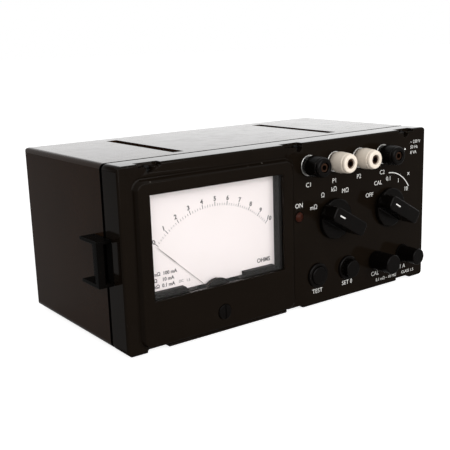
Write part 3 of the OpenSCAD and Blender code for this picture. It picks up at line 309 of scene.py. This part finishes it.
# A copy of a CAD node with its sharp edges rounded over
def softEdges(name, width):
    look = softLook
    mesh = nodes[name].data.copy()
    work = bmesh.new()
    work.from_mesh(mesh)
    bmesh.ops.remove_doubles(work, verts=work.verts, dist=look["merge"] * mm)
    share = work.edges.layers.float.new("bevel_weight_edge")
    for edge in work.edges:
        sharp = edge.calc_face_angle(0) > math.radians(look["sharpAngle"])
        edge[share] = 1.0 if sharp and not (name == "front_panel" and inBezelGroove(edge)) else 0.0
    work.to_mesh(mesh)
    work.free()
    piece = addPiece(name + ".soft", mesh, bodyOf[name], slotOf[name], replaced=(name,))
    for face in mesh.polygons:
        face.use_smooth = True
    bevel = piece.modifiers.new("edges", "BEVEL")
    bevel.width = width
    bevel.segments = look["segments"]
    bevel.limit_method = "WEIGHT"
    bevel.use_clamp_overlap = False
    bevel.loop_slide = False
    flats = piece.modifiers.new("flats", "WEIGHTED_NORMAL")  # flat faces stay flat beside the rounded edges
    flats.weight = look["flatWeight"]
    flats.keep_sharp = False


edgeWidths = {
    "front_panel": 0.5, "strap_lug_left": 0.5, "strap_lug_right": 0.5, "range_knob": 0.9, "mode_knob": 0.9,
    "test_button": 0.7, "zero_knob": 0.5, "cal_knob": 0.8, "fuse_cap": 0.7, "hub_cover": 0.2,
    "zero_screw": 0.35, "fuse_holder": 0.3, "case_feet": 0.4, "terminal_washers": 0.3,
}
for name, width in edgeWidths.items():
    softEdges(name, width * mm)

print("edges softened:", len(edgeWidths))


# A turned shape about the -Y axis: profile is a closed list of (radius, out) in mm.
# The rings in fluted are cut by fine flutes.
def turnedMesh(name, center, profile, fluted, look):
    sides = look["sides"]
    work = bmesh.new()
    rings = []
    for index, (radius, out) in enumerate(profile):
        ring = []
        for k in range(sides):
            turn = 2 * math.pi * k / sides
            cut = 0.0
            if index in fluted:
                cut = look["fluteDepth"] * (0.5 - 0.5 * math.cos(look["flutes"] * turn)) ** 3
            r = (radius - cut) * mm
            spot = (center.x + r * math.cos(turn), panelY - out * mm, center.z + r * math.sin(turn))
            ring.append(work.verts.new(spot))
        rings.append(ring)
    for first, second in zip(rings, rings[1:]):
        for k in range(sides):
            nxt = (k + 1) % sides
            work.faces.new((first[k], first[nxt], second[nxt], second[k]))
    bmesh.ops.remove_doubles(work, verts=work.verts, dist=look["merge"] * mm)
    bmesh.ops.recalc_face_normals(work, faces=work.faces)
    mesh = bpy.data.meshes.new(name)
    work.to_mesh(mesh)
    work.free()
    return mesh


# Terminal caps: a bellied, finely ribbed barrel, a fine groove, a plain front ring and an open mouth
capLook = {
    "foot": 2.2, "bore": 3.05, "mouth": 3.75, "mouthFloor": 13.6,
    "sides": 160, "flutes": 40, "fluteDepth": 0.09, "merge": 0.001, "sharpAngle": 50,
    "barrel": [(6.5, 2.2), (6.95, 2.4), (7.42, 3.5), (7.78, 4.9), (7.92, 6.4), (7.90, 7.6), (7.82, 9.0),
               (7.72, 10.4), (7.60, 12.0), (7.48, 13.4), (7.38, 14.4)],
    "ring": [(7.26, 14.6), (6.98, 14.72), (6.98, 14.92), (7.12, 15.02), (7.12, 15.8), (7.04, 16.4),
             (6.78, 17.0), (6.36, 17.38), (5.85, 17.5), (4.05, 17.5), (3.85, 17.43), (3.75, 17.2)],
}


def terminalCap(number):
    look = capLook
    name = "terminal_cap_%d" % number
    floor = look["mouthFloor"]
    inside = [(look["mouth"], floor), (look["bore"], floor), (look["bore"], look["foot"])]
    profile = look["barrel"] + look["ring"] + inside + look["barrel"][:1]
    fluted = range(2, len(look["barrel"]) - 1)
    mesh = turnedMesh(name + ".turned", middleOf(name), profile, fluted, look)
    smoothMesh(mesh, look["sharpAngle"])
    addPiece(name + ".turned", mesh, bodyOf[name], slotOf[name], replaced=(name,))


for number in range(1, 5):
    terminalCap(number)

print("terminals turned")


# The needle as it is made: a fine pale tube from the hub and a dark flattened blade at its end
needleLook = {
    "tube": 0.16, "root": 4, "lap": 0.4, "bladeFrom": 43.0, "blade": (0.23, 0.13), "deep": 0.15,
    "collar": 1.3, "collarAt": 0.8, "collarEnd": 1.6, "hub": 2.6, "weight": 1.6,
    "barSides": 12, "discSides": 32, "sharpAngle": 40,
}
paleTube = solidFinish("needle_tube", {
    "color": (0.30, 0.27, 0.26), "shade": (0.24, 0.22, 0.21), "patch": 300, "rough": (0.35, 0.45),
    "smear": 400, "grain": 3000, "grainDepth": 0.00002})


def needlePieces():
    look = needleLook
    arms = [Vector((v.co.x - pivot.x, 0, v.co.z - pivot.z)) for v in nodes["needle"].data.vertices]
    tip = max(arms, key=lambda arm: arm.length)
    length = tip.length
    along = tip.normalized()
    across = Vector((along.z, 0, -along.x))
    low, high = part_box("needle")
    middle = Vector((pivot.x, (low[1] + high[1]) / 2, pivot.z))
    depth = (high[1] - low[1]) / 2

    # A round bar through stations of reach, half width and half depth
    def bar(work, stations):
        sides = look["barSides"]
        rings = []
        for reach, half, deep in stations:
            spot = middle + along * reach
            ring = []
            for k in range(sides):
                turn = 2 * math.pi * k / sides
                out = Vector((0, deep * math.sin(turn), 0))
                ring.append(work.verts.new(spot + across * half * math.cos(turn) + out))
            rings.append(ring)
        for first, second in zip(rings, rings[1:]):
            for k in range(sides):
                nxt = (k + 1) % sides
                work.faces.new((first[k], first[nxt], second[nxt], second[k]))
        work.faces.new(rings[0])
        work.faces.new(list(reversed(rings[-1])))

    def disc(work, reach, radius):
        place = Matrix.Translation(middle + along * reach) @ Matrix.Rotation(math.pi / 2, 4, "X")
        bmesh.ops.create_cone(work, cap_ends=True, segments=look["discSides"], radius1=radius, radius2=radius,
                              depth=2 * depth, matrix=place)

    def made(name, work, finish, replaced):
        bmesh.ops.recalc_face_normals(work, faces=work.faces)
        mesh = bpy.data.meshes.new(name)
        work.to_mesh(mesh)
        work.free()
        smoothMesh(mesh, look["sharpAngle"])
        addPiece(name, mesh, bodyOf["needle"], slotOf["needle"], finish, replaced)

    bladeStart = look["bladeFrom"] * mm
    wide, fine = (half * mm for half in look["blade"])
    tube, deep, weight = (look[key] * mm for key in ("tube", "deep", "weight"))
    collar = look["collar"]
    weightAt = weight - max(-arm.dot(along) for arm in arms)
    work = bmesh.new()
    bar(work, [(bladeStart, tube, tube), (bladeStart + look["collarAt"] * mm, collar * wide, collar * tube),
               (bladeStart + look["collarEnd"] * mm, wide, deep), (length, fine, deep)])
    disc(work, 0, look["hub"] * mm)
    disc(work, weightAt, weight)
    made("needle_blade", work, finishes["needle_paint"], ("needle",))
    work = bmesh.new()
    bar(work, [(weightAt, 2 * tube, tube), (0, 2 * tube, tube), (look["root"] * mm, tube, tube),
               (bladeStart + look["lap"] * mm, tube, tube)])
    made("needle_tube", work, paleTube, ())


needlePieces()

print("needle made")

# Painted shade: thin near-black matt sheets on the frame's sides behind the lugs, where the side lies in the
# lugs' shade
lugShadeSheetLook = {"thick": 0.25, "front": 12.5, "back": 19.5, "low": 49.0, "high": 75.0}
lugShadeSheetFinish = solidFinish("lug_shade_sheet_finish", {
    "color": (0.0030, 0.0026, 0.0023), "shade": (0.0020, 0.0018, 0.0016), "patch": 900, "rough": (0.8, 0.95),
    "smear": 900, "grain": 5000, "grainDepth": 0.0001, "bite": 0.4, "ior": 1.06})


# painted shade: one near-black sheet on the frame's side behind a lug
def strapPad(side):
    look = lugShadeSheetLook
    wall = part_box("front_panel")[1 if side > 0 else 0][0]
    work = bmesh.new()
    bmesh.ops.create_cube(work, size=1)
    size = Vector((look["thick"], look["back"] - look["front"], look["high"] - look["low"])) * mm
    spot = Vector((wall + side * look["thick"] * mm / 2, panelY + (look["front"] + look["back"]) * mm / 2,
                   baseZ + (look["low"] + look["high"]) * mm / 2))
    bmesh.ops.transform(work, matrix=Matrix.Translation(spot) @ Matrix.Diagonal((*size, 1)), verts=work.verts)
    mesh = bpy.data.meshes.new("lug_shade_sheet_mesh")
    work.to_mesh(mesh)
    work.free()
    addPiece("lug_shade_sheet_" + ("right" if side > 0 else "left"), mesh, "instrument", "foot_rubber", lugShadeSheetFinish)


for side in (-1, 1):
    strapPad(side)

print("lug shade sheets laid")


# Print on the panel and dial: letters and lines are thin raised ink
inkLook = {"thick": 0.06, "merge": 0.0005, "curveSteps": 3}


def rawLetters(words, align="CENTER", weight=0.0):
    curve = bpy.data.curves.new("letters", "FONT")
    curve.body = words
    curve.size = 1
    curve.align_x = align
    curve.offset = weight
    curve.resolution_u = inkLook["curveSteps"]
    holder = bpy.data.objects.new("letters", curve)
    bpy.context.scene.collection.objects.link(holder)
    graph = bpy.context.evaluated_depsgraph_get()
    mesh = bpy.data.meshes.new_from_object(holder.evaluated_get(graph))
    bpy.data.objects.remove(holder)
    bpy.data.curves.remove(curve)
    return mesh


capRatio = max(v.co.y for v in rawLetters("H").vertices)


def letterMesh(words, capHeight, align, weight):
    mesh = rawLetters(words, align, weight)
    mesh.transform(Matrix.Scale(capHeight * mm / capRatio, 4))
    return mesh


# The place at a radius and a clock angle round a middle, in the panel's own plane (x right, z up)
def clockPoint(middle, radius, angle):
    return middle.x + radius * math.sin(angle), middle.z + radius * math.cos(angle)


# Collects flat shapes in the panel's plane and raises them into one thin solid
class InkSheet:
    def __init__(self, faceY):
        self.faceY = faceY
        self.work = bmesh.new()

    def addMesh(self, mesh, x, z, turn=0.0):
        place = Matrix.Translation((x, z, 0)) @ Matrix.Rotation(turn, 4, "Z")
        mesh.transform(place)
        self.work.from_mesh(mesh)
        bpy.data.meshes.remove(mesh)

    def write(self, words, x, z, capHeight, turn=0.0, align="CENTER", weight=0.0):
        mesh = letterMesh(words, capHeight, align, weight)
        mesh.transform(Matrix.Translation((0, -capHeight * mm / 2, 0)))
        self.addMesh(mesh, x, z, turn)

    def fill(self, points):
        self.work.faces.new([self.work.verts.new((x, z, 0)) for x, z in points])

    def line(self, x0, z0, x1, z1, width):
        along = Vector((x1 - x0, z1 - z0))
        side = Vector((-along.y, along.x)).normalized() * width / 2
        self.fill([(x0 - side.x, z0 - side.y), (x1 - side.x, z1 - side.y),
                   (x1 + side.x, z1 + side.y), (x0 + side.x, z0 + side.y)])

    def arc(self, middle, radius, start, end, width, steps=24):
        inner, outer = radius - width / 2, radius + width / 2
        for k in range(steps):
            a, b = (start + (end - start) * (k + j) / steps for j in (0, 1))
            corners = ((inner, a), (outer, a), (outer, b), (inner, b))
            self.fill([clockPoint(middle, reach, angle) for reach, angle in corners])

    def disc(self, x, z, radius, sides=24):
        turns = [2 * math.pi * k / sides for k in range(sides)]
        self.fill([(x + radius * math.cos(turn), z + radius * math.sin(turn)) for turn in turns])

    def finish(self, name, body, slot, finish):
        work = self.work
        bmesh.ops.remove_doubles(work, verts=work.verts, dist=inkLook["merge"] * mm)
        thick = inkLook["thick"] * mm
        faces = work.faces[:]
        bmesh.ops.recalc_face_normals(work, faces=faces)
        for face in faces:
            if face.normal.z < 0:
                face.normal_flip()
        grown = bmesh.ops.extrude_face_region(work, geom=faces)
        for item in grown["geom"]:
            if isinstance(item, bmesh.types.BMVert):
                item.co.z += thick
        for vert in work.verts:
            x, z, out = vert.co
            vert.co = (x, self.faceY - out, z)
        bmesh.ops.recalc_face_normals(work, faces=work.faces)
        mesh = bpy.data.meshes.new(name)
        work.to_mesh(mesh)
        work.free()
        addPiece(name, mesh, body, slot, finish)


whiteInk = solidFinish("white_ink", {
    "color": (0.78, 0.77, 0.74), "shade": (0.66, 0.65, 0.62), "patch": 500, "rough": (0.4, 0.55),
    "smear": 600, "grain": 4000, "grainDepth": 0.00002})
blackInk = solidFinish("black_ink", {
    "color": (0.050, 0.046, 0.048), "shade": (0.085, 0.078, 0.078), "patch": 700, "rough": (0.45, 0.6),
    "smear": 600, "grain": 4000, "grainDepth": 0.00002})

# Panel print, laid out from the controls it belongs to
panelPrint = {
    "terminals": ["C1", "P1", "P2", "C2"], "terminalDrop": 14.4, "capHeight": 3.3,
    "range": ["mΩ", "Ω", "kΩ", "MΩ"], "mode": ["OFF", "CAL", "0.1", "1", "10"],
    "firstAngle": -60, "stepAngle": 30, "ringDrops": (0.6, 0.0), "ringRadius": 23.0, "letterSpread": 1.2,
    "arcRadius": 27.4, "arcWidth": 0.7, "arcAngles": (0, 60), "timesPlace": (23.4, 24.0), "timesSize": 1.25,
    "row": [("test_button", "TEST", 0.0, 12.4), ("zero_knob", "SET 0", 0.0, 12.0),
            ("cal_knob", "CAL", 0.0, 11.4), ("fuse_cap", "1 A", 1.1, 11.5)],
    "lampRise": 8.6, "dot": (118.8, 109.1, 0.8),
    "rating": ["~ 230 V", "50 Hz", "8 VA"], "ratingPlace": (125.1, 114.3),
    "ratingStep": 4.3, "ratingHeight": 2.5,
    "footer": [("0.1 mΩ – 10 MΩ", 98.7, 5.9), ("CLASS 1.5", 124.6, 6.4)], "footerHeight": 2.4,
}


def printPanel():
    look = panelPrint
    tall = look["capHeight"]
    sheet = InkSheet(panelY)
    for number, words in enumerate(look["terminals"], 1):
        spot = middleOf("terminal_cap_%d" % number)
        sheet.write(words, spot.x, spot.z - look["terminalDrop"] * mm, tall)
    rings = (("range_shaft", look["range"]), ("mode_shaft", look["mode"]))
    for (knob, labels), drop in zip(rings, look["ringDrops"]):
        spot = middleOf(knob) - Vector((0, 0, drop * mm))
        for step, words in enumerate(labels):
            angle = math.radians(look["firstAngle"] + step * look["stepAngle"])
            spread = look["letterSpread"] * abs(math.sin(angle)) * (len(words) - 1)
            sheet.write(words, *clockPoint(spot, (look["ringRadius"] + spread) * mm, angle), tall)
    start, end = (math.radians(angle) for angle in look["arcAngles"])  # the arc is the mode knob's
    sheet.arc(spot, look["arcRadius"] * mm, start, end, look["arcWidth"] * mm)
    x, z = look["timesPlace"]
    sheet.write("×", spot.x + x * mm, spot.z + z * mm, look["timesSize"] * tall)
    for node, words, aside, drop in look["row"]:
        spot = middleOf(node)
        sheet.write(words, spot.x + aside * mm, spot.z - drop * mm, tall)
    lamp = middleOf("lamp_lens")
    sheet.write("ON", lamp.x, lamp.z + look["lampRise"] * mm, tall)
    x, z = look["ratingPlace"]
    for step, words in enumerate(look["rating"]):
        high = baseZ + (z - step * look["ratingStep"]) * mm
        sheet.write(words, x * mm, high, look["ratingHeight"], align="LEFT")
    x, z, r = look["dot"]
    sheet.disc(x * mm, baseZ + z * mm, r * mm)
    for words, x, z in look["footer"]:
        sheet.write(words, x * mm, baseZ + z * mm, look["footerHeight"])
    sheet.finish("panel_print", "instrument", "dial_paint", whiteInk)


printPanel()

# Dial print: a scale of ten with fifths, centred a little off the needle's pivot
dialPrint = {
    "top": 10, "steps": 5, "center": (1.54, 0.02), "turn": -0.7, "sweep": 47.3, "bow": 1.6,
    "numberRadius": 66.8, "numberHeight": 3.0, "numberWeight": 0.03, "numberLean": 0.4, "zeroAside": 0.6,
    "tickInner": 61.6, "tickFifth": 63.3, "tickWhole": 64.6, "thin": 0.26, "bold": 0.45,
    "notes": ["mΩ  100 mA", "Ω    10 mA", "kΩ  0.1 mA"], "notePlace": (-116.0, 49.2), "noteStep": 4.2,
    "noteHeight": 2.35, "noteWeight": 0.03,
    "words": [("OHMS", -22.9, 42.3, 3.0, 0.03), ("DC", -94.6, 41.0, 1.8, 0.0),
              ("1.5", -88.9, 40.6, 1.8, 0.0)],
}


# The middle of the scale leans a little to the right, as on a hand-drawn dial
def scaleAngle(number):
    look = dialPrint
    along = 2 * number / look["top"] - 1
    return math.radians(look["turn"] + look["sweep"] * along + look["bow"] * (1 - along * along))


def printDial():
    look = dialPrint
    sheet = InkSheet(dialY)
    middle = pivot + Vector((look["center"][0] * mm, 0, look["center"][1] * mm))
    for step in range(look["top"] * look["steps"] + 1):
        angle = scaleAngle(step / look["steps"])
        whole = step % look["steps"] == 0
        end = look["tickWhole"] if whole else look["tickFifth"]
        width = look["bold"] if whole else look["thin"]
        inside = clockPoint(middle, look["tickInner"] * mm, angle)
        sheet.line(*inside, *clockPoint(middle, end * mm, angle), width * mm)
    for number in range(look["top"] + 1):
        angle = scaleAngle(number)
        x, z = clockPoint(middle, look["numberRadius"] * mm, angle)
        aside = 0 if number else look["zeroAside"] * mm
        lean = -angle * look["numberLean"]
        sheet.write(str(number), x + aside, z, look["numberHeight"], lean, weight=look["numberWeight"])
    x, z = look["notePlace"]
    for step, words in enumerate(look["notes"]):
        high = baseZ + (z - step * look["noteStep"]) * mm
        sheet.write(words, x * mm, high, look["noteHeight"], align="LEFT", weight=look["noteWeight"])
    for words, x, z, height, weight in look["words"]:
        sheet.write(words, x * mm, baseZ + z * mm, height, weight=weight)
    sheet.finish("dial_print", "instrument", "needle_paint", blackInk)


printDial()

# White marks on the pointing ends of the bar knobs
markLook = {"from": 6.8, "to": 12.5, "width": 1.05, "angle": -60}


def knobMark(knob):
    spot = middleOf(knob.replace("knob", "shaft"))
    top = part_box(knob)[0][1]
    sheet = InkSheet(top)
    angle = math.radians(markLook["angle"])
    inside, outside = (clockPoint(spot, markLook[key] * mm, angle) for key in ("from", "to"))
    sheet.line(*inside, *outside, markLook["width"] * mm)
    sheet.finish(knob + "_mark", bodyOf[knob], "dial_paint", whiteInk)


for knob in ("range_knob", "mode_knob"):
    knobMark(knob)

print("print laid on panel, dial and knobs")


# Stage: white floor, soft lamps and the camera of the photograph
stageLook = {"floorSize": 30.0, "floorWhite": 0.55, "floorGlow": 0.84, "floorInGloss": 0.15,
             "worldWhite": 1.0, "worldDim": 0.42, "worldInGloss": 1.0}


# How much of its white a backdrop shows: all to the lens and through glass, part in a gloss
def seenWhite(tree, inGloss):
    path = addNode(tree, "ShaderNodeLightPath")
    gloss = addNode(tree, "ShaderNodeMath", operation="MULTIPLY")
    gloss.inputs[1].default_value = inGloss
    tree.links.new(path.outputs["Is Glossy Ray"], gloss.inputs[0])
    total = gloss.outputs[0]
    for key in ("Is Camera Ray", "Is Transmission Ray"):
        most = addNode(tree, "ShaderNodeMath", operation="MAXIMUM")
        tree.links.new(total, most.inputs[0])
        tree.links.new(path.outputs[key], most.inputs[1])
        total = most.outputs[0]
    return total


def buildFloor():
    half = stageLook["floorSize"] / 2
    mesh = bpy.data.meshes.new("floor")
    corners = [(-half, -half, 0), (half, -half, 0), (half, half, 0), (-half, half, 0)]
    mesh.from_pydata(corners, [], [(0, 1, 2, 3)])
    floor = bpy.data.objects.new("floor", mesh)
    bpy.context.scene.collection.objects.link(floor)
    made = bpy.data.materials.new("floor_white")
    made.use_nodes = True
    tree = made.node_tree
    tree.nodes.clear()
    out = addNode(tree, "ShaderNodeOutputMaterial")
    paper = addNode(tree, "ShaderNodeBsdfDiffuse")
    paper.inputs["Color"].default_value = (stageLook["floorWhite"],) * 3 + (1,)
    glow = addNode(tree, "ShaderNodeEmission")
    level = rangeOf(tree, seenWhite(tree, stageLook["floorInGloss"]), 0, stageLook["floorGlow"], 0, 1)
    tree.links.new(level, glow.inputs["Strength"])
    both = addNode(tree, "ShaderNodeAddShader")
    tree.links.new(paper.outputs[0], both.inputs[0])
    tree.links.new(glow.outputs[0], both.inputs[1])
    tree.links.new(both.outputs[0], out.inputs["Surface"])
    mesh.materials.append(made)


def buildWorld():
    world = bpy.data.worlds.new("studio")
    bpy.context.scene.world = world
    world.use_nodes = True
    tree = world.node_tree
    tree.nodes.clear()
    out = addNode(tree, "ShaderNodeOutputWorld")
    sky = addNode(tree, "ShaderNodeBackground")
    sky.inputs["Color"].default_value = (1, 1, 1, 1)
    seen = seenWhite(tree, stageLook["worldInGloss"])
    level = rangeOf(tree, seen, stageLook["worldDim"], stageLook["worldWhite"], 0, 1)
    tree.links.new(level, sky.inputs["Strength"])
    tree.links.new(sky.outputs[0], out.inputs["Surface"])


lampAim = Vector((0, 0, 0.06))
lamps = {
    "key": {"place": (0.30, -1.5, 0.42), "size": (0.9, 0.9), "watts": 13},
    "fill": {"place": (-0.8, -1.3, 0.7), "size": (1.0, 1.0), "watts": 10},
    "back": {"place": (1.25, 1.75, 0.62), "size": (2.8, 1.1), "watts": 9},
}


def buildLamps():
    for name, look in lamps.items():
        data = bpy.data.lights.new(name, "AREA")
        data.shape = "RECTANGLE"
        data.size, data.size_y = look["size"]
        data.energy = look["watts"]
        lamp = bpy.data.objects.new(name, data)
        lamp.location = look["place"]
        lamp.rotation_euler = (lampAim - lamp.location).to_track_quat("-Z", "Y").to_euler()
        lamp.visible_camera = False
        bpy.context.scene.collection.objects.link(lamp)


cameraLook = {"focalPx": 786.135, "framePx": 450, "sensor": 36, "nearest": 10,
              "yaw": 36.0346, "pitch": 12.9934, "roll": -1.8662, "place": (-369.6, -422.1, 196.4)}


def buildCamera():
    look = cameraLook
    yaw, pitch, roll = (math.radians(look[key]) for key in ("yaw", "pitch", "roll"))
    ahead = Vector((math.sin(yaw) * math.cos(pitch), math.cos(yaw) * math.cos(pitch), -math.sin(pitch)))
    right = Vector((math.cos(yaw), -math.sin(yaw), 0))
    up = right.cross(ahead)
    tiltedRight = math.cos(roll) * right + math.sin(roll) * up
    tiltedUp = -math.sin(roll) * right + math.cos(roll) * up
    data = bpy.data.cameras.new("photo")
    data.sensor_width = look["sensor"]
    data.lens = look["focalPx"] / look["framePx"] * look["sensor"]
    data.clip_start = look["nearest"] * mm
    camera = bpy.data.objects.new("photo", data)
    place = Vector(look["place"]) * mm + Vector((0, panelY, baseZ))
    facing = Matrix((tiltedRight, tiltedUp, -ahead)).transposed().to_4x4()
    camera.matrix_world = Matrix.Translation(place) @ facing
    bpy.context.scene.collection.objects.link(camera)
    bpy.context.scene.camera = camera


buildFloor()
buildWorld()
buildLamps()
buildCamera()
bpy.context.scene.view_settings.view_transform = "Standard"

print("stage set")
